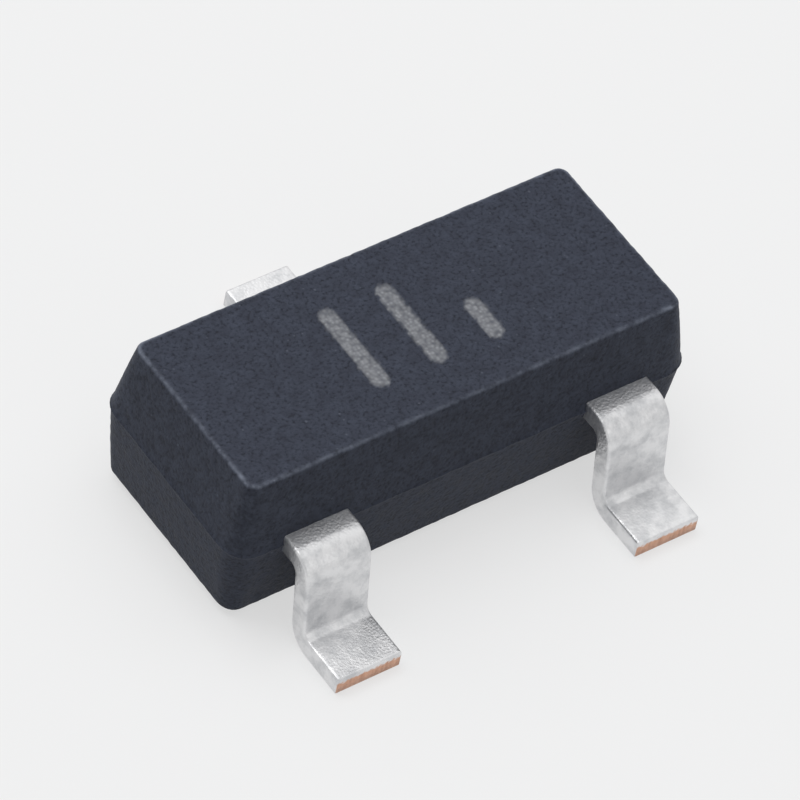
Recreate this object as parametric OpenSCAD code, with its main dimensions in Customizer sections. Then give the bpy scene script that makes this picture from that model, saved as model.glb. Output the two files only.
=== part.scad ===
// Three-lead surface-mount transistor: a stamped lead frame with a bonded die, sealed in a
// drafted epoxy moulding. Z = 0 is the seating plane under the feet, X runs along the body,
// the side with two leads faces -Y and the single lead faces +Y.

/* [Moulded body] */
// Length of the body at its parting line
body_l = 2.90; // [2.7:0.01:3.04]
// Width of the body at its parting line
body_w = 1.28; // [1.2:0.01:1.4]
// Height of the moulding, from its underside to its top face
body_h = 0.95; // [0.9:0.01:1.05]
// Gap between the seating plane and the underside
standoff = 0.05; // [0.02:0.01:0.1]
// Height of the parting line, the middle of the lead frame, above the seating plane
parting_z = 0.55; // [0.5:0.01:0.58]
// Lean of the walls above the parting line
upper_draft = 12; // [5:0.5:14]
// Lean of the walls below the parting line
lower_draft = 7; // [4:0.5:12]
// Radius of the upright corners where their taper ends tightest
corner_r = 0.06; // [0.05:0.005:0.1]
// Round along the edges of the top face
top_edge_r = 0.03; // [0.01:0.005:0.045]
// Round along the edges of the underside
bottom_edge_r = 0.02; // [0.01:0.005:0.045]

/* [Leads outside the body] */
// Width of a lead
lead_w = 0.40; // [0.36:0.01:0.5]
// Thickness of the strip that the leads are stamped from
lead_t = 0.11; // [0.09:0.01:0.14]
// Distance between the middles of the two leads on one side
lead_pitch = 1.90; // [1.8:0.01:2]
// Distance across the part from toe to toe
lead_span = 2.46; // [2.3:0.01:2.64]
// Level run of a lead between the body and its first bend
shoulder_l = 0.07; // [0.02:0.01:0.12]
// Inside radius of both bends of a lead
bend_r = 0.05; // [0.03:0.01:0.07]
// Slope of the leg between the bends, 90 being upright
leg_angle = 82; // [74:1:86]

/* [Leads inside the body] */
// Depth that a lead keeps its width inside the body before it widens
anchor_depth = 0.22; // [0.15:0.01:0.26]
// Width of a bond post
post_w = 0.50; // [0.44:0.01:0.55]
// Length of a bond post
post_l = 0.45; // [0.35:0.01:0.6]
// Width of the paddle under the die
paddle_w = 0.84; // [0.7:0.01:1]
// Length of the paddle under the die
paddle_l = 0.80; // [0.65:0.01:0.85]
// Corner cut of the paddle and the posts
frame_chamfer = 0.06; // [0.02:0.01:0.1]

/* [Die and bonds] */
// Side of the square die
die_s = 0.38; // [0.3:0.01:0.45]
// Thickness of the die
die_t = 0.15; // [0.1:0.01:0.18]
// Thickness of the bonding layer under the die
attach_t = 0.02; // [0.01:0.005:0.03]
// Margin of the bonding layer around the die
attach_margin = 0.02; // [0.01:0.005:0.04]
// Diameter of a bond wire
wire_d = 0.025; // [0.018:0.001:0.03]
// Diameter of the squashed ball that starts a wire on the die
ball_d = 0.075; // [0.06:0.005:0.1]
// Height of the squashed ball
ball_h = 0.02; // [0.015:0.005:0.03]
// Upright rise of a wire above the die before it turns
wire_rise = 0.05; // [0.04:0.005:0.06]
// Radius of the turn at the top of a wire's loop
loop_r = 0.05; // [0.03:0.005:0.06]
// Distance of each bond pad from the middle of the die, along and across the body
pad_offset = 0.09; // [0.06:0.01:0.1]
// Distance of a wire's far end from the inner edge of its post
landing_inset = 0.18; // [0.12:0.01:0.22]
// Length of the pressed end of a wire on its post
stitch_l = 0.08; // [0.05:0.01:0.1]
// Width of the pressed end
stitch_w = 0.05; // [0.03:0.005:0.06]
// Thickness of the pressed end
stitch_t = 0.008; // [0.005:0.001:0.012]

/* [Hidden] */
$fn = 64;

// Heights of the moulding and how far its walls lean in
body_bottom = standoff;
body_top = standoff + body_h;
top_inset = (body_top - parting_z) * tan(upper_draft);
bottom_inset = (parting_z - body_bottom) * tan(lower_draft);

// Upright corner axes, and the wall's distance from them at three heights. At the parting line
// it is rounded to a tenth of a micrometre, so that the runs and corners of the wall just meet
parting_r = round((corner_r + max(top_inset, bottom_inset)) * 10000) / 10000;
top_r = parting_r - top_inset;
bottom_r = parting_r - bottom_inset;
corner_x = body_l / 2 - parting_r;
corner_y = body_w / 2 - parting_r;

// Middle line of a lead, measured outwards from the middle of the part
mid_r = bend_r + lead_t / 2;
bend_start = body_w / 2 + shoulder_l;
leg_l = (parting_z - lead_t / 2 - 2 * mid_r * (1 - cos(leg_angle))) / sin(leg_angle);
foot_start = bend_start + 2 * mid_r * sin(leg_angle) + leg_l * cos(leg_angle);
toe = lead_span / 2;

// Lead frame inside the body
frame_top = parting_z + lead_t / 2;
anchor_y = body_w / 2 - anchor_depth;
post_outer = lead_pitch / 2 + lead_w / 2;
post_inner = post_outer - post_w;

// Die stack and wire ends
die_y = anchor_y - paddle_l / 2;
die_bottom = frame_top + attach_t;
die_top = die_bottom + die_t;
landing_x = post_inner + landing_inset;
landing_y = post_l / 2 - anchor_y;

// Sides of a wire's section, one of them level below, and steps of its turn
wire_sides = 12;
turn_steps = 8;
// Bulge of the ball: height and width of each ring as shares of the ball's own
ball_bulge = [[0, 0.8], [0.25, 0.97], [0.5, 1], [0.75, 0.92], [1, 0.6]];

// Centre of a round between a level face and a leaning wall that would meet at radius r.
// side is 1 for an upper face and -1 for a lower one
function round_centre(r, z, edge_r, draft, side) =
    [r - edge_r * (1 - sin(draft)) / cos(draft), z - side * edge_r];

// Point where that round runs into the wall
function round_end(centre, edge_r, draft, side) =
    centre + edge_r * [cos(draft), side * sin(draft)];

// Half section of the wall, measured outwards from a corner's upright axis
module wall_section() {
    upper = round_centre(top_r, body_top, top_edge_r, upper_draft, 1);
    lower = round_centre(bottom_r, body_bottom, bottom_edge_r, lower_draft, -1);
    polygon([
        [0, body_bottom],
        [lower[0], body_bottom],
        round_end(lower, bottom_edge_r, lower_draft, -1),
        [parting_r, parting_z],
        round_end(upper, top_edge_r, upper_draft, 1),
        [upper[0], body_top],
        [0, body_top]
    ]);
    translate(upper) circle(top_edge_r);
    translate(lower) circle(bottom_edge_r);
}

// Whole section across the body, with its corner axes at reach on both sides
module body_section(reach) {
    for (side = [0, 1])
        mirror([side, 0]) translate([reach, 0]) wall_section();
    translate([-reach, body_bottom]) square([2 * reach, body_h]);
}

// Outer form of the moulding: two drafted sections carried along the body and across it,
// closed by a quarter turn of the wall at each corner
module outer_form() {
    rotate([90, 0, 0]) linear_extrude(2 * corner_y, center = true) body_section(corner_x);
    rotate([90, 0, 90]) linear_extrude(2 * corner_x, center = true) body_section(corner_y);
    for (end = [0, 1], side = [0, 1])
        mirror([end, 0, 0]) mirror([0, side, 0])
            translate([corner_x, corner_y, 0]) rotate_extrude(angle = 90) wall_section();
}

// Straight run of the strip: from rise to rise + lead_t in Y, centred in Z
module strip(from, rise, length) {
    translate([from, rise, -lead_w / 2]) cube([length, lead_t, lead_w]);
}

// Bend of the strip about the Z axis, from the X axis through the leg's angle
module bend() {
    rotate_extrude(angle = leg_angle) translate([bend_r, -lead_w / 2]) square([lead_t, lead_w]);
}

// Gull-wing lead facing +Y with its middle at X = 0. It is drawn on its side, X outwards and
// Y up, as a chain: level run out of the body, bend, leg, bend and flat foot
module gull_wing() {
    rotate([90, 0, 90]) {
        strip(anchor_y, parting_z - lead_t / 2, bend_start - anchor_y);
        translate([bend_start, parting_z - mid_r, 0]) rotate(90 - leg_angle) {
            bend();
            translate([bend_r, -leg_l, -lead_w / 2]) cube([lead_t, leg_l, lead_w]);
            translate([2 * bend_r + lead_t, -leg_l, 0]) {
                rotate(180) bend();
                rotate(leg_angle - 90) strip(0, -bend_r - lead_t, toe - foot_start);
            }
        }
    }
}

// Flat piece of the lead frame with cut corners, from one plan corner to the other
module frame_plate(low, high) {
    cut = frame_chamfer;
    translate([0, 0, parting_z - lead_t / 2]) linear_extrude(lead_t) polygon([
        [low[0] + cut, low[1]],
        [high[0] - cut, low[1]],
        [high[0], low[1] + cut],
        [high[0], high[1] - cut],
        [high[0] - cut, high[1]],
        [low[0] + cut, high[1]],
        [low[0], high[1] - cut],
        [low[0], low[1] + cut]
    ]);
}

// Lead that carries one end of a bond wire, on the +X side
module post_lead_form() {
    translate([lead_pitch / 2, 0, 0]) mirror([0, 1, 0]) gull_wing();
    frame_plate([post_inner, -anchor_y - frame_chamfer], [post_outer, post_l - anchor_y]);
}

module base_lead_form() { mirror([1, 0, 0]) post_lead_form(); }

module emitter_lead_form() { post_lead_form(); }

module collector_lead_form() {
    gull_wing();
    frame_plate([-paddle_w / 2, anchor_y - paddle_l], [paddle_w / 2, anchor_y + frame_chamfer]);
}

module die_attach_form() {
    side = die_s + 2 * attach_margin;
    translate([-side / 2, die_y - side / 2, frame_top]) cube([side, side, attach_t]);
}

module die_form() {
    translate([-die_s / 2, die_y - die_s / 2, die_bottom]) cube([die_s, die_s, die_t]);
}

// Height of a ring's middle above the face that its lowest side lies on
function seat(thickness) = thickness / 2 * cos(180 / wire_sides);

// Rings of a bond wire in its own upright plane, from the pad over a level distance of run:
// [distance, height, slope of the wire, width, thickness]. The wire rises from its ball,
// turns until it points at the heel of the pressed end, and runs straight down to it
function wire_rings(run) =
    let (
        heel = run - stitch_l,
        drop = die_top + wire_rise - frame_top - seat(wire_d),
        reach = norm([heel - loop_r, drop]),
        turn = 90 + atan2(drop, heel - loop_r) + asin(loop_r / reach)
    )
    concat(
        [for (b = ball_bulge) [0, die_top + b[0] * ball_h, 90, b[1] * ball_d, b[1] * ball_d]],
        [for (i = [0 : turn_steps])
            let (a = turn * i / turn_steps)
            [loop_r * (1 - cos(a)), die_top + wire_rise + loop_r * sin(a), 90 - a, wire_d, wire_d]],
        [for (share = [0, 0.5, 1])
            let (thickness = wire_d + share * (stitch_t - wire_d))
            [heel + share * stitch_l, frame_top + seat(thickness), 0,
             wire_d + share * (stitch_w - wire_d), thickness]]
    );

// Points of one ring, in the upright plane that leaves pad at the angle heading
function ring_points(ring, pad, heading) =
    [for (k = [0 : wire_sides - 1])
        let (
            a = 360 * (k + 0.5) / wire_sides,
            across = ring[3] / 2 * cos(a),
            over = ring[4] / 2 * sin(a),
            along = ring[0] - over * sin(ring[2])
        )
        [pad[0] + along * cos(heading) - across * sin(heading),
         pad[1] + along * sin(heading) + across * cos(heading),
         ring[1] + over * cos(ring[2])]];

// Bond wire from a pad on the die to a landing on a post, one skin over all its rings
module wire_form(pad, landing) {
    heading = atan2(landing[1] - pad[1], landing[0] - pad[0]);
    rings = wire_rings(norm(landing - pad));
    last = (len(rings) - 1) * wire_sides;
    polyhedron(
        [for (ring = rings) each ring_points(ring, pad, heading)],
        concat(
            [[for (k = [0 : wire_sides - 1]) k]],
            [for (i = [0 : wire_sides : last - 1], k = [0 : wire_sides - 1])
                let (next = (k + 1) % wire_sides)
                each [[i + k, i + wire_sides + k, i + wire_sides + next],
                      [i + k, i + wire_sides + next, i + next]]],
            [[for (k = [wire_sides - 1 : -1 : 0]) last + k]]
        )
    );
}

module base_wire_form() {
    wire_form([-pad_offset, die_y - pad_offset], [-landing_x, landing_y]);
}

module emitter_wire_form() {
    wire_form([pad_offset, die_y + pad_offset], [landing_x, landing_y]);
}

// Black epoxy moulding, poured round everything that it holds
module moulded_body() {
    color("#2c2e35") difference() {
        outer_form();
        base_lead_form();
        emitter_lead_form();
        collector_lead_form();
        die_attach_form();
        die_form();
        base_wire_form();
        emitter_wire_form();
    }
}

// Tin-plated copper alloy strip, for the three leads
module base_lead() { color("#c9cacb") base_lead_form(); }

module emitter_lead() { color("#c9cacb") emitter_lead_form(); }

module collector_lead() { color("#c9cacb") collector_lead_form(); }

// Silver-filled adhesive under the die
module die_attach() { color("#9b9ca0") die_attach_form(); }

// Silicon chip
module transistor_die() { color("#53586a") die_form(); }

// Gold bond wires
module base_bond_wire() { color("#d4a94e") base_wire_form(); }

module emitter_bond_wire() { color("#d4a94e") emitter_wire_form(); }

moulded_body();
base_lead();
emitter_lead();
collector_lead();
die_attach();
transistor_die();
base_bond_wire();
emitter_bond_wire();
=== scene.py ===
"""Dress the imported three-lead surface-mount transistor for its portrait.

The moulded body and the three leads are new surfaces, worked out in millimetres on the sizes of
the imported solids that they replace. The die, its bonding layer and the bond wires keep their
solids and get a finish. X runs along the body, the single lead faces +Y, and Z = 0 is the plane
that the feet stand on.
"""
import logging
import math
from dataclasses import dataclass, field
from enum import Enum, IntEnum
from typing import ClassVar

import bpy
import numpy as np
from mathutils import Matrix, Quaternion, Vector


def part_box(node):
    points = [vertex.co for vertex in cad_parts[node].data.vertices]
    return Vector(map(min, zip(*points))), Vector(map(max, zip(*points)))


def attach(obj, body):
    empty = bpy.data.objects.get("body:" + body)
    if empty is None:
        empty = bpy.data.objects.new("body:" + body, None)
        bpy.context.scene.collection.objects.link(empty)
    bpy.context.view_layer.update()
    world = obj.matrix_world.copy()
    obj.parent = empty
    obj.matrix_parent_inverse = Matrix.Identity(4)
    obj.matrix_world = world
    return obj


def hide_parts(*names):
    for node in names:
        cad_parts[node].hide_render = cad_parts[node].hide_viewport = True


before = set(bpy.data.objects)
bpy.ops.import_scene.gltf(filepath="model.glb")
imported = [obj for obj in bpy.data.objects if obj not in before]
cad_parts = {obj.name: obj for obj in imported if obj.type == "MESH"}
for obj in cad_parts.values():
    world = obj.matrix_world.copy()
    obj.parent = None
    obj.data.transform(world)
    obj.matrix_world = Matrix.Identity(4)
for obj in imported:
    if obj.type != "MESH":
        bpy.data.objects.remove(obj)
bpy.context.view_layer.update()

MM = 0.001
log = logging.getLogger("transistor")

Array = np.ndarray
Colour = tuple[float, float, float, float]


class Seed(IntEnum):
    """Seeds of the random fields, one for each kind of relief on the moulding."""

    GRAIN = 3
    FLASH = 5
    CHIPS = 7
    MARK = 11


def linear(colour: str) -> Colour:
    """Turn an sRGB hex colour into linear light.

    Args:
        colour: Six hex digits after a hash sign.

    Returns:
        Red, green, blue and an alpha of 1.
    """
    shares = np.array([int(colour[i:i + 2], 16) for i in (1, 3, 5)]) / 255
    light = np.where(shares <= 0.04045, shares / 12.92, ((shares + 0.055) / 1.055) ** 2.4)
    return (*light.tolist(), 1.0)


def add_node(tree: bpy.types.NodeTree, kind: str, settings: dict[str, object] | None = None,
             inputs: dict[str | int, object] | None = None) -> bpy.types.Node:
    """Add one node with its settings and inputs.

    Args:
        tree: Node tree that the node goes into.
        kind: Type name of the node.
        settings: Properties of the node by name.
        inputs: Inputs by name or place, each a value or a socket to link from.

    Returns:
        The new node.
    """
    made = tree.nodes.new(kind)
    for name, value in (settings or {}).items():
        setattr(made, name, value)
    for key, value in (inputs or {}).items():
        if isinstance(value, bpy.types.NodeSocket):
            tree.links.new(value, made.inputs[key])
        else:
            made.inputs[key].default_value = value
    return made


def new_material(name: str) -> tuple[bpy.types.Material, bpy.types.NodeTree]:
    """Start a node material with an empty tree.

    Args:
        name: Name of the material.

    Returns:
        The material and its node tree.
    """
    material = bpy.data.materials.new(name)
    material.use_nodes = True
    material.node_tree.nodes.clear()
    return material, material.node_tree


def place_in_mm(tree: bpy.types.NodeTree) -> bpy.types.NodeSocket:
    """Read the place on the part, so that a pattern's scale is one over its size in millimetres.

    Args:
        tree: Node tree of the material.

    Returns:
        The socket of the Object coordinates in millimetres.
    """
    place = add_node(tree, "ShaderNodeTexCoord").outputs["Object"]
    return add_node(tree, "ShaderNodeVectorMath", {"operation": "SCALE"},
                    {0: place, "Scale": 1 / MM}).outputs[0]


def seen_share(tree: bpy.types.NodeTree) -> bpy.types.NodeSocket:
    """Tell what is looked at from what only lights the part.

    Args:
        tree: Node tree of the floor or of the surround.

    Returns:
        The socket that is 1 for rays from the camera, off gloss or through glass, and else 0.
    """
    path = add_node(tree, "ShaderNodeLightPath")
    looked = add_node(tree, "ShaderNodeMath", {"operation": "ADD"}, {
        0: path.outputs["Is Camera Ray"], 1: path.outputs["Is Glossy Ray"]})
    return add_node(tree, "ShaderNodeMath", {"operation": "ADD", "use_clamp": True}, {
        0: looked.outputs[0], 1: path.outputs["Is Transmission Ray"]}).outputs[0]


def ripple(points: Array, wavelength: float, seed: int, waves: int = 48) -> Array:
    """Smooth random field of about unit size over points in space.

    The sum of plane waves with random headings, phases and lengths near the wavelength, times
    the root of two over their number.

    Args:
        points: Places in millimetres, with x, y and z along the last axis.
        wavelength: Typical distance from crest to crest in millimetres.
        seed: Seed of the random headings.
        waves: Number of plane waves.

    Returns:
        One value for each point.
    """
    rng = np.random.default_rng(seed)
    headings = rng.normal(size=(waves, 3))
    headings /= np.linalg.norm(headings, axis=1, keepdims=True)
    turns = 2 * np.pi / (wavelength * rng.uniform(0.7, 1.4, waves))
    phases = rng.uniform(0, 2 * np.pi, waves)
    return math.sqrt(2 / waves) * np.cos(points @ (headings * turns[:, None]).T + phases).sum(-1)


def ease(values: Array, low: float, high: float) -> Array:
    """Smooth step: 0 below low, 1 above high, and 3t^2 - 2t^3 between them."""
    share = np.clip((values - low) / (high - low), 0, 1)
    return share * share * (3 - 2 * share)


def make_piece(name: str, points: Array, faces: list[list[int]],
               attributes: dict[str, Array]) -> bpy.types.Object:
    """Put a worked-out surface into a smooth-shaded mesh object at the origin.

    Args:
        name: Name of the piece.
        points: Vertices in millimetres, one row each.
        faces: Vertex numbers of each face, anticlockwise from outside.
        attributes: Values at the vertices by name, single numbers or rows of three.

    Returns:
        The new object.
    """
    mesh = bpy.data.meshes.new(name)
    mesh.from_pydata((points * MM).tolist(), [], faces)
    mesh.polygons.foreach_set("use_smooth", np.ones(len(mesh.polygons), bool))
    for key, values in attributes.items():
        wide = values.ndim == 2
        layer = mesh.attributes.new(key, "FLOAT_VECTOR" if wide else "FLOAT", "POINT")
        layer.data.foreach_set("vector" if wide else "value", values.astype(np.float32).ravel())
    mesh.update()
    piece = bpy.data.objects.new(name, mesh)
    bpy.context.scene.collection.objects.link(piece)
    return piece


@dataclass(frozen=True)
class EpoxyMoulding:
    """Black epoxy moulding compound, cured in a spark-eroded steel cavity.

    The eye gets a matte blue-black skin with fine pits from the cavity, their colour darkened as
    painted shade, a faint mottle and a few pale grains from the silica filler, edges lighter,
    partly worn and partly a painted highlight, and a greyer rough laser mark.
    """

    deep: str = "#2d303b"
    pale: str = "#444956"
    # Painted shade: the colour that the pits are darkened to
    pit_shade: str = "#1d2028"
    filler: str = "#545965"
    # Lighter edges: partly worn, partly a painted highlight
    rubbed_and_highlit: str = "#757b89"
    lasered: str = "#94969a"
    roughness: tuple[float, float] = (0.50, 0.66)
    mark_rougher: float = 0.25
    rub_smoother: float = 0.15
    ior: float = 1.55
    specular: float = 0.10
    mottle_mm: float = 0.06
    # The cavity's pits are about 0.01 mm wide, drawn twice as wide to show in the picture
    pit_mm: float = 0.02
    pit_depth_mm: float = 0.006
    # Filler grains of up to 0.02 mm lie at most one to a cell of this width
    grain_mm: float = 0.045
    grain_sharpness: float = 6.0
    # Pulses of the laser leave spots of about 0.02 mm
    pulse_mm: float = 0.02
    pulse_depth_mm: float = 0.002

    def material(self) -> bpy.types.Material:
        """Build the material; it reads the edge, worn and with a painted highlight, and the mark
        from the piece's attributes.

        Returns:
            The material of the moulding.
        """
        material, tree = new_material("epoxy_moulded_matte_black")
        spot = place_in_mm(tree)
        mottle = add_node(tree, "ShaderNodeTexNoise", {}, {
            "Vector": spot, "Scale": 1 / self.mottle_mm, "Detail": 5.0, "Roughness": 0.62})
        cloud = add_node(tree, "ShaderNodeMapRange", {}, {
            "Value": mottle.outputs[0], "From Min": 0.2, "From Max": 0.8})
        pits = add_node(tree, "ShaderNodeTexNoise", {}, {
            "Vector": spot, "Scale": 1 / self.pit_mm, "Detail": 3.0, "Roughness": 0.6})
        # Painted shade: the deeper the pit, the darker its colour
        pit_shade = add_node(tree, "ShaderNodeMapRange", {}, {
            "Value": pits.outputs[0], "From Min": 0.52, "From Max": 0.3,
            "To Min": 0.0, "To Max": 0.85})
        # Two cells of five hold a grain, which reaches up to about a fifth of the cell
        grains = add_node(tree, "ShaderNodeTexVoronoi", {}, {
            "Vector": spot, "Scale": 1 / self.grain_mm, "Randomness": 1.0})
        rarity = add_node(tree, "ShaderNodeSeparateColor", {}, {0: grains.outputs["Color"]})
        reach = add_node(tree, "ShaderNodeMapRange", {}, {
            "Value": rarity.outputs[0], "From Min": 0.6, "From Max": 1.0,
            "To Min": 0.0, "To Max": 0.22})
        inside = add_node(tree, "ShaderNodeMath", {"operation": "SUBTRACT", "use_clamp": True},
                          {0: reach.outputs[0], 1: grains.outputs["Distance"]})
        grain = add_node(tree, "ShaderNodeMath", {"operation": "MULTIPLY", "use_clamp": True},
                         {0: inside.outputs[0], 1: self.grain_sharpness})
        # The mottle breaks up the lighter edges, which are partly worn and partly a painted highlight
        edge = add_node(tree, "ShaderNodeAttribute", {"attribute_name": "edge"})
        patchy = add_node(tree, "ShaderNodeMapRange", {}, {
            "Value": mottle.outputs[0], "From Min": 0.38, "From Max": 0.62,
            "To Min": 0.25, "To Max": 1.0})
        rubbed_and_highlit_share = add_node(tree, "ShaderNodeMath", {"operation": "MULTIPLY", "use_clamp": True},
                       {0: edge.outputs["Fac"], 1: patchy.outputs[0]})
        mark = add_node(tree, "ShaderNodeAttribute", {"attribute_name": "mark"})
        pulses = add_node(tree, "ShaderNodeTexVoronoi", {"feature": "SMOOTH_F1"}, {
            "Vector": spot, "Scale": 1 / self.pulse_mm, "Randomness": 0.7})
        burnt = add_node(tree, "ShaderNodeMapRange", {}, {
            "Value": pulses.outputs["Distance"], "From Min": 0.1, "From Max": 0.7,
            "To Min": 1.0, "To Max": 0.35})
        lasered = add_node(tree, "ShaderNodeMath", {"operation": "MULTIPLY", "use_clamp": True},
                           {0: mark.outputs["Fac"], 1: burnt.outputs[0]})
        colour: Colour | bpy.types.NodeSocket = linear(self.deep)
        # In this mix the pits get painted shade and the edges a partly painted highlight
        for share, over in ((cloud, self.pale), (pit_shade, self.pit_shade), (grain, self.filler),
                            (rubbed_and_highlit_share, self.rubbed_and_highlit), (lasered, self.lasered)):
            colour = add_node(tree, "ShaderNodeMix", {"data_type": "RGBA"}, {
                0: share.outputs[0], 6: colour, 7: linear(over)}).outputs[2]
        gloss = add_node(tree, "ShaderNodeMapRange", {}, {
            "Value": mottle.outputs[0], "From Min": 0.3, "From Max": 0.7,
            "To Min": self.roughness[0], "To Max": self.roughness[1]})
        rough = add_node(tree, "ShaderNodeMath", {"operation": "MULTIPLY_ADD", "use_clamp": True},
                         {0: mark.outputs["Fac"], 1: self.mark_rougher, 2: gloss.outputs[0]})
        rough = add_node(tree, "ShaderNodeMath", {"operation": "MULTIPLY_ADD", "use_clamp": True},
                         {0: rubbed_and_highlit_share.outputs[0], 1: -self.rub_smoother, 2: rough.outputs[0]})
        relief = add_node(tree, "ShaderNodeBump", {}, {
            "Height": pits.outputs[0], "Strength": 1.0, "Distance": self.pit_depth_mm * MM})
        relief = add_node(tree, "ShaderNodeBump", {}, {
            "Height": lasered.outputs[0], "Strength": 0.5, "Distance": self.pulse_depth_mm * MM,
            "Normal": relief.outputs[0]})
        skin = add_node(tree, "ShaderNodeBsdfPrincipled", {}, {
            "Base Color": colour, "Roughness": rough.outputs[0], "IOR": self.ior,
            "Specular IOR Level": self.specular, "Normal": relief.outputs[0]})
        add_node(tree, "ShaderNodeOutputMaterial", {}, {"Surface": skin.outputs[0]})
        return material


@dataclass(frozen=True)
class MatteTin:
    """Matte tin, plated on a stamped and formed copper alloy strip.

    The eye gets a bright soft silver with a fine crystal grain, faint lines along the strip,
    duller patches, fine crazing over the bends, and warm bare copper where the toe was cut off,
    below the tin that the cut dragged over it.
    """

    bright: str = "#e3e3e4"
    dull: str = "#c9cacc"
    copper: str = "#d6a98f"
    smeared: str = "#b98d75"
    roughness: tuple[float, float] = (0.30, 0.48)
    # Tin crystals are about 0.005 mm, drawn three times as large to show in the picture
    crystal_mm: float = 0.015
    crystal_depth_mm: float = 0.0012
    roll_mm: float = 0.02
    roll_depth_mm: float = 0.001
    patch_mm: float = 0.08
    craze_mm: float = 0.016
    craze_depth_mm: float = 0.002
    shear_mm: float = 0.03
    drag_mm: float = 0.06
    drag_edge_mm: tuple[float, float] = (0.04, 0.06)
    # A pattern is drawn out where the strip's own place, along, across and through, is shrunk
    rolled_along: tuple[float, float, float] = (0.06, 1.0, 1.0)
    crazed_across: tuple[float, float, float] = (1.0, 0.12, 0.12)
    sheared_through: tuple[float, float, float] = (1.0, 1.0, 0.15)

    def material(self) -> bpy.types.Material:
        """Build the material on the strip's own attribute: along, across and through it in mm.

        Returns:
            The material of the leads.
        """
        material, tree = new_material("tin_plated_copper_strip")
        strip = add_node(tree, "ShaderNodeAttribute", {"attribute_name": "strip"}).outputs["Vector"]
        spot = place_in_mm(tree)
        rolled, crazed, sheared = (
            add_node(tree, "ShaderNodeVectorMath", {"operation": "MULTIPLY"},
                     {0: strip, 1: shrink}).outputs[0]
            for shrink in (self.rolled_along, self.crazed_across, self.sheared_through))
        crystal = add_node(tree, "ShaderNodeTexVoronoi", {"feature": "SMOOTH_F1"}, {
            "Vector": spot, "Scale": 1 / self.crystal_mm, "Smoothness": 0.6})
        roll = add_node(tree, "ShaderNodeTexNoise", {}, {
            "Vector": rolled, "Scale": 1 / self.roll_mm, "Detail": 2.0})
        patch = add_node(tree, "ShaderNodeTexNoise", {}, {
            "Vector": spot, "Scale": 1 / self.patch_mm, "Detail": 4.0, "Roughness": 0.6})
        dull = add_node(tree, "ShaderNodeMapRange", {}, {
            "Value": patch.outputs[0], "From Min": 0.42, "From Max": 0.68})
        bend = add_node(tree, "ShaderNodeAttribute", {"attribute_name": "bend"})
        craze = add_node(tree, "ShaderNodeTexNoise", {}, {
            "Vector": crazed, "Scale": 1 / self.craze_mm, "Detail": 2.0})
        crazing = add_node(tree, "ShaderNodeMath", {"operation": "MULTIPLY"},
                           {0: bend.outputs["Fac"], 1: craze.outputs[0]})
        # Copper shows at the cut below the uneven edge of the dragged tin
        bare = add_node(tree, "ShaderNodeAttribute", {"attribute_name": "bare"})
        through = add_node(tree, "ShaderNodeSeparateXYZ", {}, {0: strip}).outputs[2]
        torn = add_node(tree, "ShaderNodeMath", {"operation": "MULTIPLY_ADD"},
                        {0: roll.outputs[0], 1: self.drag_mm, 2: through})
        below = add_node(tree, "ShaderNodeMapRange", {}, {
            "Value": torn.outputs[0], "From Min": self.drag_edge_mm[0],
            "From Max": self.drag_edge_mm[1], "To Min": 1.0, "To Max": 0.0})
        cut = add_node(tree, "ShaderNodeMath", {"operation": "MULTIPLY", "use_clamp": True},
                       {0: bare.outputs["Fac"], 1: below.outputs[0]})
        shear = add_node(tree, "ShaderNodeTexNoise", {}, {
            "Vector": sheared, "Scale": 1 / self.shear_mm, "Detail": 2.0})
        scored = add_node(tree, "ShaderNodeMapRange", {}, {
            "Value": shear.outputs[0], "From Min": 0.35, "From Max": 0.65})
        toe = add_node(tree, "ShaderNodeMix", {"data_type": "RGBA"}, {
            0: scored.outputs[0], 6: linear(self.copper), 7: linear(self.smeared)})
        plated = add_node(tree, "ShaderNodeMix", {"data_type": "RGBA"}, {
            0: dull.outputs[0], 6: linear(self.bright), 7: linear(self.dull)})
        colour = add_node(tree, "ShaderNodeMix", {"data_type": "RGBA"}, {
            0: cut.outputs[0], 6: plated.outputs[2], 7: toe.outputs[2]})
        rough = add_node(tree, "ShaderNodeMapRange", {}, {
            "Value": patch.outputs[0], "From Min": 0.3, "From Max": 0.7,
            "To Min": self.roughness[0], "To Max": self.roughness[1]})
        relief = add_node(tree, "ShaderNodeBump", {}, {
            "Height": crystal.outputs["Distance"], "Strength": 1.0,
            "Distance": self.crystal_depth_mm * MM})
        for height, strength, depth_mm in ((roll, 0.6, self.roll_depth_mm),
                                           (crazing, 0.8, self.craze_depth_mm)):
            relief = add_node(tree, "ShaderNodeBump", {}, {
                "Height": height.outputs[0], "Strength": strength, "Distance": depth_mm * MM,
                "Normal": relief.outputs[0]})
        skin = add_node(tree, "ShaderNodeBsdfPrincipled", {}, {
            "Base Color": colour.outputs[2], "Metallic": 1.0, "Roughness": rough.outputs[0],
            "Normal": relief.outputs[0]})
        add_node(tree, "ShaderNodeOutputMaterial", {}, {"Surface": skin.outputs[0]})
        return material


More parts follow.
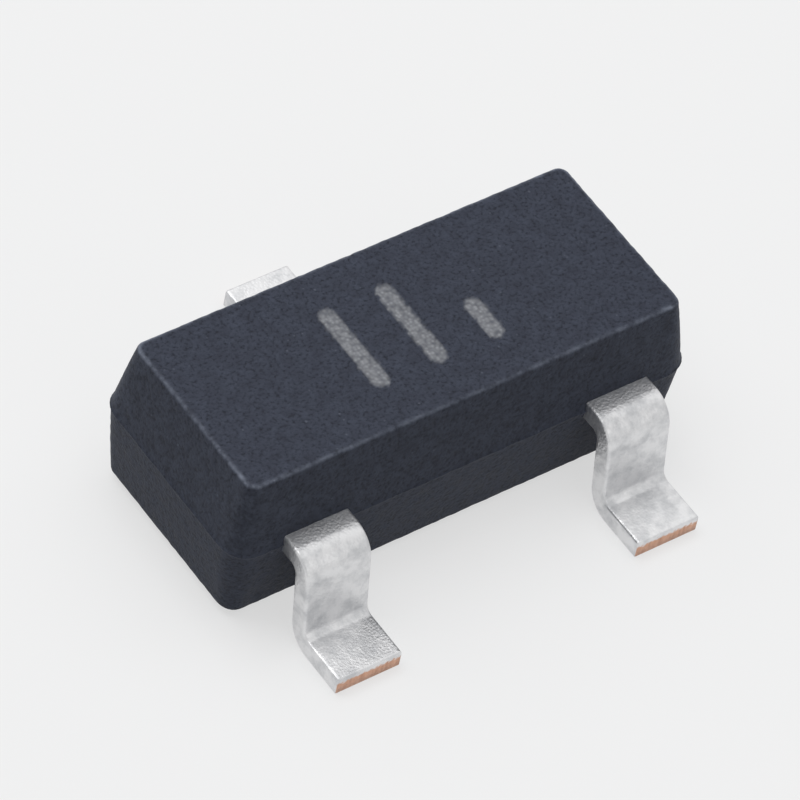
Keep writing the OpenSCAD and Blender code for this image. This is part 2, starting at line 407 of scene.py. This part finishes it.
@dataclass(frozen=True)
class SealedFinish:
    """Finish of a piece that is sealed in the moulding: two colours that vary with a noise."""

    name: str
    pale: str
    deep: str
    metallic: float
    roughness: float
    pattern_mm: float
    roughness_swing: float = 0.2

    def material(self) -> bpy.types.Material:
        """Build the material with its grain at the pattern's real size.

        Returns:
            The material of the sealed piece.
        """
        material, tree = new_material(self.name)
        grain = add_node(tree, "ShaderNodeTexNoise", {}, {
            "Vector": place_in_mm(tree), "Scale": 1 / self.pattern_mm, "Detail": 4.0})
        colour = add_node(tree, "ShaderNodeMix", {"data_type": "RGBA"}, {
            0: grain.outputs[0], 6: linear(self.deep), 7: linear(self.pale)})
        rough = add_node(tree, "ShaderNodeMapRange", {}, {
            "Value": grain.outputs[0], "To Min": self.roughness * (1 - self.roughness_swing),
            "To Max": self.roughness * (1 + self.roughness_swing)})
        skin = add_node(tree, "ShaderNodeBsdfPrincipled", {}, {
            "Base Color": colour.outputs[2], "Metallic": self.metallic,
            "Roughness": rough.outputs[0]})
        add_node(tree, "ShaderNodeOutputMaterial", {}, {"Surface": skin.outputs[0]})
        return material


# Flakes of silver in a cured adhesive give a dull sparkling grey
SILVER_ADHESIVE = SealedFinish("silver_filled_adhesive_cured", pale="#b4b5b8", deep="#83858a",
                               metallic=0.8, roughness=0.5, pattern_mm=0.02)
# Polished silicon under its oxide is a dark steel blue mirror
POLISHED_SILICON = SealedFinish("silicon_polished_oxide", pale="#5d6377", deep="#474c5c",
                                metallic=0.6, roughness=0.12, pattern_mm=0.2)
# Gold wire is bright and warm, with a faint mottle
DRAWN_GOLD = SealedFinish("gold_drawn_wire", pale="#e0b95c", deep="#c99a3f",
                          metallic=1.0, roughness=0.22, pattern_mm=0.015)


@dataclass(frozen=True)
class PaleFloor:
    """White seamless card; the camera and reflections see it lifted to the white backdrop."""

    colour: str = "#d8d9da"
    lift: float = 0.62

    def material(self) -> bpy.types.Material:
        """Build a matte card whose white lift leaves the object's shadow on it.

        Returns:
            The material of the card.
        """
        material, tree = new_material("white_seamless_card")
        share = add_node(tree, "ShaderNodeMath", {"operation": "MULTIPLY"}, {
            0: seen_share(tree), 1: self.lift})
        card = add_node(tree, "ShaderNodeBsdfDiffuse", {}, {"Color": linear(self.colour)})
        white = add_node(tree, "ShaderNodeEmission", {}, {"Strength": 1.0})
        both = add_node(tree, "ShaderNodeMixShader", {}, {
            0: share.outputs[0], 1: card.outputs[0], 2: white.outputs[0]})
        add_node(tree, "ShaderNodeOutputMaterial", {}, {"Surface": both.outputs[0]})
        return material


@dataclass(frozen=True)
class LaserBar:
    """One plain stroke of the generic laser mark on the top face, in millimetres."""

    x: float
    y: float
    length: float
    width: float

    def depth_inside(self, x: Array, y: Array) -> Array:
        """Distance inside the stroke's round-ended outline, negative outside it."""
        beyond = np.maximum(np.abs(y - self.y) - (self.length - self.width) / 2, 0)
        return self.width / 2 - np.hypot(x - self.x, beyond)


@dataclass
class MouldedBody:
    """Epoxy moulding: a leaning wall carried round a rectangle with round corners, and two caps.

    Sizes are in millimetres and angles in radians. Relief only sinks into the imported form.
    """

    finish: EpoxyMoulding
    parting_z: float = 0.55
    upper_draft: float = math.radians(12)
    lower_draft: float = math.radians(7)
    corner_r: float = 0.06
    top_edge_r: float = 0.03
    bottom_edge_r: float = 0.02
    # Ridge of flash at the parting line: the walls beside it lie deeper by its height
    flash: float = 0.006
    flash_width: float = 0.008
    flash_reach: float = 0.16
    flash_even: float = 0.75
    flash_wave: float = 0.15
    grain: float = 0.0012
    grain_wave: float = 0.06
    # Chips sit on the rounds of the edges, most near the corners and above the parting line
    chip: float = 0.006
    chip_wave: float = 0.10
    chip_range: tuple[float, float] = (0.9, 2.2)
    # How worn the edges are also paints them lighter as a painted highlight, most near the corners
    # and above the parting line
    worn_lean: float = math.radians(50)
    worn_spread: float = math.radians(24)
    worn_reach: float = 0.18
    side_wear: float = 0.6
    lower_wear: float = 0.4
    mark_depth: float = 0.004
    mark_edge: tuple[float, float] = (-0.008, 0.010)
    rag: float = 0.003
    rag_wave: float = 0.04
    step: float = 0.014
    corner_steps: int = 4
    under_steps: int = 6
    over_steps: int = 8
    wall_steps: int = 24
    crowding: float = 1.6
    bars: tuple[LaserBar, ...] = (
        LaserBar(x=-0.36, y=0.0, length=0.58, width=0.10),
        LaserBar(x=0.0, y=0.0, length=0.58, width=0.10),
        LaserBar(x=0.36, y=-0.145, length=0.29, width=0.10))
    low: Array = field(init=False)
    high: Array = field(init=False)
    parting_r: float = field(init=False)
    top_r: float = field(init=False)
    bottom_r: float = field(init=False)
    axis: Array = field(init=False)

    def __post_init__(self) -> None:
        """Read the moulding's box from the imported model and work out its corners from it."""
        self.low, self.high = (np.array(corner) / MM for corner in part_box("moulded_body"))
        top_inset = (self.high[2] - self.parting_z) * math.tan(self.upper_draft)
        bottom_inset = (self.parting_z - self.low[2]) * math.tan(self.lower_draft)
        self.parting_r = self.corner_r + max(top_inset, bottom_inset)
        self.top_r = self.parting_r - top_inset
        self.bottom_r = self.parting_r - bottom_inset
        self.axis = (self.high[:2] - self.low[:2]) / 2 - self.parting_r

    def outline(self) -> tuple[Array, Array, int, int]:
        """Walk once round the body, from the middle of its front left corner.

        Each side is half a corner's arc, a straight run and half an arc. A point lies at its
        anchor, which stays on the rectangle of the corner axes, plus the wall's distance times
        the outward heading.

        Returns:
            Anchors, outward headings, and the steps along a long and along a short side.
        """
        runs = [int(round(2 * reach / self.step)) for reach in self.axis]
        anchors, headings = [], []
        signs = np.array([[-1, -1], [1, -1], [1, 1], [-1, 1]])
        arc = np.linspace(0, math.pi / 4, self.corner_steps + 1)
        for side in range(4):
            run = runs[side % 2] + 1
            start, end = (signs[(side + k) % 4] * self.axis for k in (0, 1))
            along = np.concatenate([np.zeros(self.corner_steps), np.linspace(0, 1, run),
                                    np.ones(self.corner_steps - 1)])
            middle = math.radians(270 + 90 * side)
            angle = np.concatenate([middle - math.pi / 4 + arc[:-1], np.full(run, middle),
                                    middle + arc[1:-1]])
            anchors.append(start + along[:, None] * (end - start))
            headings.append(np.stack([np.cos(angle), np.sin(angle)], 1))
        spans = [run + 2 * self.corner_steps for run in runs]
        return np.concatenate(anchors), np.concatenate(headings), spans[0], spans[1]

    def wall(self) -> tuple[Array, Array, Array]:
        """Section of the wall from the underside's edge up to the top face's edge.

        Two rounds and two leaning lines, with points closer together towards the parting line.
        How worn a point is, which also sets its painted highlight, is a bell curve about the worn
        lean of the rounds, weaker below the parting line.

        Returns:
            Distances from the corner axis with heights, their outward normals, and how worn
            each point is, which is also how much painted highlight it gets.
        """
        lower = np.array([self.bottom_r - self.bottom_edge_r * (1 - math.sin(self.lower_draft))
                          / math.cos(self.lower_draft), self.low[2] + self.bottom_edge_r])
        upper = np.array([self.top_r - self.top_edge_r * (1 - math.sin(self.upper_draft))
                          / math.cos(self.upper_draft), self.high[2] - self.top_edge_r])
        under = np.linspace(-math.pi / 2, -self.lower_draft, self.under_steps + 1)
        over = np.linspace(self.upper_draft, math.pi / 2, self.over_steps + 1)
        parting = np.array([self.parting_r, self.parting_z])
        turn_in = lower + self.bottom_edge_r * np.stack([np.cos(under), np.sin(under)], 1)
        turn_out = upper + self.top_edge_r * np.stack([np.cos(over), np.sin(over)], 1)
        rise = (1 - np.linspace(1, 0, self.wall_steps + 1) ** self.crowding)[1:, None]
        points = np.concatenate([turn_in, turn_in[-1] + rise * (parting - turn_in[-1]),
                                 parting + (1 - rise[-2::-1]) * (turn_out[0] - parting), turn_out])
        lean = np.concatenate([under, np.full(self.wall_steps - 1, -self.lower_draft), [0.0],
                               np.full(self.wall_steps - 1, self.upper_draft), over])
        normals = np.stack([np.cos(lean), np.sin(lean)], 1)
        # Also a painted highlight on the rounds of the edges, stronger above the parting line
        worn_and_highlit = np.exp(-((np.abs(lean) - self.worn_lean) / self.worn_spread) ** 2)
        worn_and_highlit *= np.where(points[:, 1] > self.parting_z, 1.0, self.lower_wear)
        return points, normals, worn_and_highlit

    def grain_depth(self, points: Array) -> Array:
        """Depth of the moulded grain: from nothing to twice its mean, by a ripple."""
        return self.grain * (1 + 0.5 * ripple(points, self.grain_wave, Seed.GRAIN).clip(-2, 2))

    def sunk_wall(self, anchors: Array, headings: Array) -> tuple[Array, Array]:
        """Carry the wall's section round the outline and sink its relief along the normals.

        A point sinks by the grain, by the flash less its ridge, both fading away from the
        parting line as bell curves, and by chips where the edges are worn.

        Args:
            anchors: Points of the outline on the rectangle of the corner axes.
            headings: Outward headings at the anchors.

        Returns:
            Points of the wall in rows from the underside up, and the wear at them.
        """
        section, lean, worn_and_highlit = self.wall()
        wall = np.empty((len(section), len(anchors), 3))
        wall[..., :2] = anchors + section[:, None, :1] * headings
        wall[..., 2] = section[:, 1:]
        normal = np.empty_like(wall)
        normal[..., :2] = lean[:, None, :1] * headings
        normal[..., 2] = lean[:, 1:]
        above = section[:, 1:] - self.parting_z
        # The ridge's height varies along the walk, by a ripple at the wall's middle row
        uneven = ripple(wall[len(wall) // 2], self.flash_wave, Seed.FLASH).clip(-1, 1)
        ridge = np.exp(-(above / self.flash_width) ** 2)
        ridge = ridge * (self.flash_even + (1 - self.flash_even) * uneven)
        # Edges lighter near the corners: partly worn, partly a painted highlight
        corner = np.exp(-np.linalg.norm(np.abs(anchors) - self.axis, axis=1) / self.worn_reach)
        worn_and_highlit = worn_and_highlit[:, None] * self.side_wear * (1 + corner)
        sunk = self.grain_depth(wall)
        sunk += self.flash * (1 - ridge) * np.exp(-(above / self.flash_reach) ** 2)
        sunk += self.chip * worn_and_highlit * ease(ripple(wall, self.chip_wave, Seed.CHIPS), *self.chip_range)
        return wall - sunk[..., None] * normal, worn_and_highlit

    @staticmethod
    def four_sides(walk: Array, nx: int, ny: int) -> tuple[Array, Array, Array, Array]:
        """Close a walk and split it into its front, right, back and left, along +X and +Y."""
        closed = np.concatenate([walk, walk[:1]])
        return (closed[:nx + 1], closed[nx:nx + ny + 1],
                closed[nx + ny:2 * nx + ny + 1][::-1], closed[2 * nx + ny:][::-1])

    def filled(self, ring: Array, nx: int, ny: int) -> Array:
        """Fill a ring with a grid, by blending its four sides (a Coons patch).

        A point is the blend of front and back, plus that of left and right, less that of the
        four corners.

        Args:
            ring: Plan points of the ring in walking order.
            nx: Steps along a long side.
            ny: Steps along a short side.

        Returns:
            Plan points of the grid, long side first.
        """
        front, right, back, left = self.four_sides(ring, nx, ny)
        u = np.linspace(0, 1, nx + 1)[:, None, None]
        v = np.linspace(0, 1, ny + 1)[None, :, None]
        corners = ((1 - u) * (1 - v) * front[0] + u * (1 - v) * front[-1]
                   + (1 - u) * v * back[0] + u * v * back[-1])
        return ((1 - v) * front[:, None] + v * back[:, None]
                + (1 - u) * left[None] + u * right[None] - corners)

    def marked(self, x: Array, y: Array) -> Array:
        """Share of the laser mark at plan points, with a soft ragged outline.

        Args:
            x: Places along the body in millimetres.
            y: Places across it.

        Returns:
            1 inside the strokes, 0 outside them and a smooth step at their outline.
        """
        inside = np.max([bar.depth_inside(x, y) for bar in self.bars], axis=0)
        ragged = self.rag * ripple(np.stack([x, y, 0 * x], -1), self.rag_wave, Seed.MARK)
        return ease(inside + ragged, *self.mark_edge)

    def cap(self, wall: Array, facing: int, first: int, nx: int,
            ny: int) -> tuple[Array, Array, Array]:
        """Close the wall at its lowest or highest row with a grid that ends on that row's points.

        Inside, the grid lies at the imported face's height, sunk by the grain and the laser mark.

        Args:
            wall: Points of the wall in rows.
            facing: 1 for the top face and -1 for the underside.
            first: Number of the first vertex inside the grid.
            nx: Steps along a long side.
            ny: Steps along a short side.

        Returns:
            Points inside the grid, their share of the laser mark, and the grid's faces.
        """
        rows, count = wall.shape[:2]
        row = rows - 1 if facing > 0 else 0
        points = np.empty((nx + 1, ny + 1, 3))
        points[..., :2] = self.filled(wall[row, :, :2], nx, ny)
        points[..., 2] = self.high[2] if facing > 0 else self.low[2]
        mark = self.marked(points[..., 0], points[..., 1]) * (facing > 0)
        points[..., 2] -= facing * (self.grain_depth(points) + self.mark_depth * mark)
        numbers = np.empty((nx + 1, ny + 1), int)
        numbers[1:-1, 1:-1] = first + np.arange((nx - 1) * (ny - 1)).reshape(nx - 1, ny - 1)
        front, right, back, left = self.four_sides(row * count + np.arange(count), nx, ny)
        numbers[:, 0], numbers[-1], numbers[:, -1], numbers[0] = front, right, back, left
        quads = np.stack([numbers[:-1, :-1], numbers[1:, :-1], numbers[1:, 1:], numbers[:-1, 1:]], -1)
        return (points[1:-1, 1:-1].reshape(-1, 3), mark[1:-1, 1:-1].ravel(),
                quads.reshape(-1, 4)[:, ::facing])

    def build(self) -> bpy.types.Object:
        """Join the sunk wall and the two caps and make the piece.

        Returns:
            The moulded body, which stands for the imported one.
        """
        anchors, headings, nx, ny = self.outline()
        wall, worn_and_highlit = self.sunk_wall(anchors, headings)
        numbers = np.arange(worn_and_highlit.size).reshape(worn_and_highlit.shape)
        beside = np.roll(numbers, -1, axis=1)
        sides = np.stack([numbers[:-1], beside[:-1], beside[1:], numbers[1:]], -1).reshape(-1, 4)
        inner = (nx - 1) * (ny - 1)
        under, unmarked, under_faces = self.cap(wall, -1, worn_and_highlit.size, nx, ny)
        over, mark, over_faces = self.cap(wall, 1, worn_and_highlit.size + inner, nx, ny)
        # The edge attribute carries how worn the edges are, which also paints a highlight on them
        piece = make_piece("moulded_body_skin", np.concatenate([wall.reshape(-1, 3), under, over]),
                           np.concatenate([under_faces, over_faces, sides]).tolist(), {
                               "edge": np.append(worn_and_highlit, np.zeros(2 * inner)),
                               "mark": np.concatenate([np.zeros(worn_and_highlit.size), unmarked, mark])})
        piece.data.materials.append(self.finish.material())
        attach(piece, "root")
        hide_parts("moulded_body")
        return piece


class LeadPlace(Enum):
    """Place of a lead: its node, its side along X and the side of the body that it leaves."""

    BASE = ("base_lead", -1, -1)
    EMITTER = ("emitter_lead", 1, -1)
    COLLECTOR = ("collector_lead", 0, 1)

    @property
    def node(self) -> str:
        """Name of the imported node."""
        return self.value[0]

    @property
    def along(self) -> int:
        """Side of the lead along X, or 0 in the middle."""
        return self.value[1]

    @property
    def facing(self) -> int:
        """Side of the body that the lead leaves, along Y."""
        return self.value[2]


@dataclass
class GullWingLead:
    """Stamped strip with a bond plate inside the body and a gull-wing form outside it.

    Sizes are in millimetres and angles in radians.
    """

    place: LeadPlace
    skin: bpy.types.Material
    width: float = 0.40
    thickness: float = 0.11
    pitch: float = 1.90
    body_w: float = 1.28
    level: float = 0.55
    shoulder: float = 0.07
    bend_r: float = 0.05
    leg_angle: float = math.radians(82)
    anchor_depth: float = 0.22
    plate_cut: float = 0.06
    post_w: float = 0.50
    post_l: float = 0.45
    paddle_w: float = 0.84
    paddle_l: float = 0.80
    rolled_r: float = 0.016
    burr_r: float = 0.005
    toe_round: float = 0.004
    step: float = 0.009
    arc_steps: int = 16
    foot_steps: int = 32
    flat_steps: int = 39
    corner_steps: int = 5
    edge_steps: int = 7

    def stations(self) -> dict[str, Array]:
        """Middle line of the strip from the plate's inner end to the toe.

        Level run, arc down, straight leg, arc back and level foot. On an arc the slope changes
        evenly with the length walked, and the place follows from the sines and cosines of it.

        Returns:
            Arrays along the path: out and up (place), slope, left and right (half widths),
            bend (0 outside the arcs, 1 in their middle), bare (1 at the cut toe), inset (round
            of the toe) and run (length walked).
        """
        toe = abs(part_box(self.place.node)[0 if self.place.facing < 0 else 1][1]) / MM
        anchor = self.body_w / 2 - self.anchor_depth
        mid_r = self.bend_r + self.thickness / 2
        fall = self.level - self.thickness / 2 - 2 * mid_r * (1 - math.cos(self.leg_angle))
        leg = fall / math.sin(self.leg_angle)
        half, cut = self.width / 2, self.plate_cut
        if self.place is LeadPlace.COLLECTOR:
            inner_end = anchor - self.paddle_l
            left = right = self.paddle_w / 2
        else:
            inner_end = anchor - self.post_l
            wide = self.post_w - half
            left, right = (wide, half) if self.place is LeadPlace.BASE else (half, wide)
        plate_out = np.array([inner_end, inner_end + cut, anchor, anchor + cut])
        plate = {side: np.array([size - cut, size, size, size - cut if size > half else size])
                 for side, size in (("left", left), ("right", right))}
        start = self.body_w / 2 + self.shoulder
        run_out = np.linspace(anchor + cut, start, int((start - anchor) / self.step))[1:]
        turn = np.linspace(0, -self.leg_angle, self.arc_steps + 1)
        arc_out = start + mid_r * np.sin(-turn)
        arc_up = self.level - mid_r * (1 - np.cos(turn))
        down = np.linspace(0, leg, int(leg / self.step))[1:]
        leg_out = arc_out[-1] + down * math.cos(self.leg_angle)
        leg_up = arc_up[-1] - down * math.sin(self.leg_angle)
        back = turn[::-1][1:]
        foot_out = leg_out[-1] + mid_r * (math.sin(self.leg_angle) + np.sin(back))
        foot_up = leg_up[-1] - mid_r * (np.cos(back) - math.cos(self.leg_angle))
        flat = np.linspace(foot_out[-1], toe - self.toe_round, self.foot_steps + 1)[1:]
        out = np.concatenate([plate_out, run_out, arc_out[1:], leg_out, foot_out, flat, [toe]])
        before, after = len(plate_out) + len(run_out), len(flat) + 1
        up = np.concatenate([np.full(before, self.level), arc_up[1:], leg_up, foot_up,
                             np.full(after, foot_up[-1])])
        slope = np.concatenate([np.zeros(before), turn[1:], np.full(len(down), -self.leg_angle),
                                back, np.zeros(after)])
        swell = np.sin(np.linspace(0, np.pi, self.arc_steps + 1))[1:]
        bend = np.concatenate([np.zeros(before), swell, np.zeros(len(down)), swell, np.zeros(after)])
        strip = np.full(len(out) - len(plate_out), half)
        at_toe = (np.arange(len(out)) == len(out) - 1).astype(float)
        walked = np.cumsum(np.hypot(np.diff(out), np.diff(up)))
        return {"out": out, "up": up, "slope": slope, "bend": bend, "bare": at_toe,
                "inset": at_toe * self.toe_round, "run": np.append(0, walked),
                "left": np.append(plate["left"], strip), "right": np.append(plate["right"], strip)}

    def section(self) -> dict[str, Array]:
        """Section of the strip: a rectangle rolled over above and sharper at the burr below.

        Walked over the top from right to left, down, along the underside and up again. A point
        lies at its share of the right half width less its share of the left one, plus an offset.
        Each pass is a flat, a quarter round, an edge and the next quarter round.

        Returns:
            Arrays round the section: right and left (shares), offset and through (height).
        """
        half = self.thickness / 2
        flat = np.linspace(0, 1, self.flat_steps + 1)
        quarter = np.linspace(math.pi / 2, math.pi, self.corner_steps + 1)
        left, offset, through = [], [], []
        for side, near_r, far_r, turn in ((1, self.rolled_r, self.burr_r, 0.0),
                                          (-1, self.burr_r, self.rolled_r, math.pi)):
            share = flat[::side]
            near, far = turn + quarter[1:], turn + math.pi / 2 + quarter[1:-1]
            near_up, far_up = side * (half - near_r), -side * (half - far_r)
            edge = np.linspace(near_up, far_up, self.edge_steps + 1)[1:]
            left += [share, np.full(len(near) + len(edge) + len(far), float(side > 0))]
            offset += [near_r * (2 * share - 1), near_r * (side + np.cos(near)),
                       np.zeros(len(edge)), far_r * (side + np.cos(far))]
            through += [np.full(len(share), side * half), near_up + near_r * np.sin(near),
                        edge, far_up + far_r * np.sin(far)]
        shares = np.concatenate(left)
        return {"right": 1 - shares, "left": shares, "offset": np.concatenate(offset),
                "through": np.concatenate(through)}

    def build(self) -> bpy.types.Object:
        """Carry the section along the path, close both ends and make the piece.

        A point lies at its station, moved across the strip by its place in the section and along
        the station's normal by its height there.

        Returns:
            The lead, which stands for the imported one.
        """
        path, section = self.stations(), self.section()
        inset = path["inset"][:, None]
        across = ((path["right"][:, None] - inset) * section["right"]
                  - (path["left"][:, None] - inset) * section["left"] + section["offset"])
        through = section["through"] * (1 - 2 * inset / self.thickness)
        slope = path["slope"][:, None]
        out = path["out"][:, None] - through * np.sin(slope)
        up = path["up"][:, None] + through * np.cos(slope)
        middle = self.place.along * self.pitch / 2
        points = np.stack([middle + self.place.facing * across, self.place.facing * out, up], -1)
        rings, sides = across.shape
        numbers = np.arange(rings * sides).reshape(rings, sides)
        beside = np.roll(numbers, -1, axis=1)
        quads = np.stack([numbers[:-1], numbers[1:], beside[1:], beside[:-1]], -1).reshape(-1, 4)
        faces = quads.tolist() + [numbers[0].tolist(), numbers[-1][::-1].tolist()]
        strip = np.stack([np.broadcast_to(path["run"][:, None], across.shape), across, through], -1)
        piece = make_piece(self.place.node + "_strip", points.reshape(-1, 3), faces, {
            "strip": strip.reshape(-1, 3), "bend": np.repeat(path["bend"], sides),
            "bare": np.repeat(path["bare"], sides)})
        piece.data.materials.append(self.skin)
        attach(piece, "root")
        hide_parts(self.place.node)
        return piece


class SealedPieces:
    """The die, its bonding layer and the bond wires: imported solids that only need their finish."""

    finishes: ClassVar[dict[str, SealedFinish]] = {
        "die_attach": SILVER_ADHESIVE, "transistor_die": POLISHED_SILICON,
        "base_bond_wire": DRAWN_GOLD, "emitter_bond_wire": DRAWN_GOLD}

    def dress(self) -> None:
        """Give each sealed node its material, one for each finish."""
        made = {finish: finish.material() for finish in dict.fromkeys(self.finishes.values())}
        for node, finish in self.finishes.items():
            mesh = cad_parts[node].data
            mesh.materials.clear()
            mesh.materials.append(made[finish])
            log.info("%s: %s", node, finish.name)


def towards(azimuth: float, elevation: float) -> Vector:
    """Unit vector from the part to a viewer; azimuth 0 stands at -Y and 90 at +X, in degrees."""
    a, e = math.radians(azimuth), math.radians(elevation)
    return Vector((math.sin(a) * math.cos(e), -math.cos(a) * math.cos(e), math.sin(e)))


@dataclass(frozen=True)
class SoftBox:
    """Square soft light: where it stands, its size, its light and whether gloss mirrors it.

    Angles are in degrees, and the distance from the part and the side in millimetres.
    """

    name: str
    azimuth: float
    elevation: float
    distance: float
    side: float
    level: float
    mirrored: bool = True

    def build(self) -> bpy.types.Object:
        """Make the lamp; level is what a small lamp of its power gives a white card facing it.

        Returns:
            The lamp object.
        """
        lamp = bpy.data.lights.new(self.name, "AREA")
        lamp.shape = "SQUARE"
        lamp.size = self.side * MM
        lamp.energy = self.level * (math.pi * self.distance * MM) ** 2
        holder = bpy.data.objects.new(self.name, lamp)
        back = towards(self.azimuth, self.elevation)
        holder.location = back * self.distance * MM
        holder.rotation_mode = "QUATERNION"
        holder.rotation_quaternion = (-back).to_track_quat("-Z", "Y")
        holder.visible_camera = False
        holder.visible_glossy = self.mirrored
        bpy.context.scene.collection.objects.link(holder)
        return holder


@dataclass
class Studio:
    """White card, soft boxes, an even white surround and the camera at the photo's angle."""

    floor: PaleFloor = PaleFloor()
    floor_side: float = 600.0
    card_drop: float = 0.002
    ambient: float = 0.20
    backdrop: float = 0.9
    azimuth: float = -44.0
    elevation: float = 48.5
    roll: float = 12.4
    lens: float = 300.0
    sensor: float = 36.0
    picture_width: float = 4.15
    aim: tuple[float, float, float] = (0.02, -0.02, 0.40)
    lamps: tuple[SoftBox, ...] = (
        SoftBox("back_left_box", azimuth=205, elevation=54, distance=90, side=80, level=0.42),
        SoftBox("back_box", azimuth=138, elevation=54, distance=100, side=180, level=0.28),
        SoftBox("overhead_box", azimuth=120, elevation=80, distance=100, side=120, level=0.61,
                mirrored=False),
        SoftBox("front_fill_box", azimuth=10, elevation=35, distance=120, side=90, level=0.06))

    def build_floor(self) -> bpy.types.Object:
        """Lay the card just under the feet as one large square.

        Returns:
            The card, which isn't part of the object.
        """
        half = self.floor_side / 2
        corners = np.array([[-half, -half], [half, -half], [half, half], [-half, half]])
        corners = np.insert(corners, 2, -self.card_drop, axis=1)
        card = make_piece("white_card", corners, [[0, 1, 2, 3]], {})
        card.data.materials.append(self.floor.material())
        return card

    def build_surround(self) -> None:
        """Light the part evenly all round, and show a brighter white to the eye and to gloss."""
        world = bpy.data.worlds.new("white_surround")
        world.use_nodes = True
        tree = world.node_tree
        tree.nodes.clear()
        strength = add_node(tree, "ShaderNodeMapRange", {}, {
            "Value": seen_share(tree), "To Min": self.ambient, "To Max": self.backdrop})
        sky = add_node(tree, "ShaderNodeBackground", {}, {"Strength": strength.outputs[0]})
        add_node(tree, "ShaderNodeOutputWorld", {}, {"Surface": sky.outputs[0]})
        bpy.context.scene.world = world

    def build_camera(self) -> bpy.types.Object:
        """Stand the camera back until the picture's width covers the wanted millimetres.

        Returns:
            The camera object.
        """
        camera = bpy.data.cameras.new("portrait_camera")
        camera.lens, camera.sensor_width = self.lens, self.sensor
        distance = self.picture_width * self.lens / self.sensor
        camera.clip_start, camera.clip_end = distance * MM / 100, self.floor_side * MM * 2
        holder = bpy.data.objects.new("portrait_camera", camera)
        back = towards(self.azimuth, self.elevation)
        holder.location = (Vector(self.aim) + back * distance) * MM
        holder.rotation_mode = "QUATERNION"
        level = (-back).to_track_quat("-Z", "Y")
        holder.rotation_quaternion = level @ Quaternion((0, 0, 1), math.radians(self.roll))
        bpy.context.scene.collection.objects.link(holder)
        bpy.context.scene.camera = holder
        return holder

    def build(self) -> None:
        """Set up the card, the light, the camera and a plain view of the colours."""
        self.build_floor()
        self.build_surround()
        for lamp in self.lamps:
            lamp.build()
        self.build_camera()
        bpy.context.scene.view_settings.view_transform = "Standard"


def main() -> None:
    """Build the studio and each piece in order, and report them."""
    logging.basicConfig(level=logging.INFO, format="%(name)s: %(message)s")
    Studio().build()
    tin = MatteTin().material()
    pieces = [MouldedBody(EpoxyMoulding()).build()]
    pieces += [GullWingLead(place, tin).build() for place in LeadPlace]
    for piece in pieces:
        log.info("%s: %d faces", piece.name, len(piece.data.polygons))
    SealedPieces().dress()


if __name__ == "__main__":
    main()
